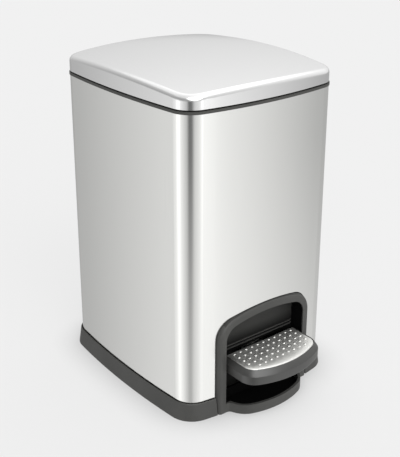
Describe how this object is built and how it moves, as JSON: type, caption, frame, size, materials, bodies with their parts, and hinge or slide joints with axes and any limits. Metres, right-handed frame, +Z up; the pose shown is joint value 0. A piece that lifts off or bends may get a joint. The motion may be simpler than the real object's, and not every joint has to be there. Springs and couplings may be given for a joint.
{
  "type": "pedal bin",
  "caption": "Rectangular pedal waste bin: bowed brushed-steel body, domed hinged lid, dark plastic base and arched foot pedal that lifts the lid, lift-out bucket inside.",
  "frame": {"origin": "middle of the whole bin's footprint, pedal and hinge included, on the floor", "axes": "+Z up, the pedal faces -Y, +X is to the right of someone facing the pedal"},
  "size_m": [0.229, 0.3156, 0.3816],
  "materials": {
    "brushed_steel": "fine vertical brush",
    "tread_steel": "brushed with raised dots",
    "dark_plastic": "fine matt grain",
    "black_plastic": "satin",
    "plated_steel": "zinc plated",
    "nylon": "natural nylon",
    "rubber": "soft"
  },
  "bodies": {
    "bin": {"outer_shell": "brushed_steel", "base_tray": "dark_plastic", "top_rim": "dark_plastic", "pedal_surround": "dark_plastic", "inner_bucket": "black_plastic", "hinge_block": "dark_plastic", "hinge_pin": "plated_steel", "rod_guide": "nylon", "pedal_axle": "plated_steel", "axle_clips": "plated_steel", "guide_screws": "plated_steel", "surround_screws": "plated_steel", "hinge_screws": "plated_steel"},
    "lid": {"lid_skin": "brushed_steel", "lid_liner": "black_plastic", "lid_arm": "plated_steel", "crank_pin": "plated_steel", "lid_buffers": "rubber", "lid_screws": "plated_steel"},
    "pedal": {"pedal_plate": "dark_plastic", "pedal_pad": "tread_steel", "pedal_lever": "plated_steel", "lever_bushes": "nylon", "pedal_screws": "plated_steel"},
    "push_rod": {"push_rod": "plated_steel", "rod_head": "nylon", "rod_shoe": "nylon"},
    "bucket_handle": {"bucket_handle": "plated_steel", "handle_grip": "black_plastic"}
  },
  "joints": [
    {"name": "lid_hinge", "type": "hinge", "parent": "bin", "child": "lid", "pos_m": [0, 0.15097, 0.3585], "axis": [-1, 0, 0], "range_deg": [0, 75]},
    {"name": "pedal_press", "type": "hinge", "parent": "bin", "child": "pedal", "pos_m": [0, 0.01897, 0.02], "axis": [1, 0, 0], "range_deg": [0, 11.9]},
    {"name": "rod_lift", "type": "slide", "parent": "bin", "child": "push_rod", "axis": [0, 0, 1], "range_m": [0, 0.0245]},
    {"name": "handle_swing", "type": "hinge", "parent": "bin", "child": "bucket_handle", "pos_m": [0, 0.01622, 0.338], "axis": [-1, 0, 0], "range_deg": [0, 12]}
  ],
  "couplings": [
    {"joint": "pedal_press", "follows": "lid_hinge", "ratio": 0.158},
    {"joint": "rod_lift", "follows": "lid_hinge", "m_per_rad": 0.01864}
  ]
}
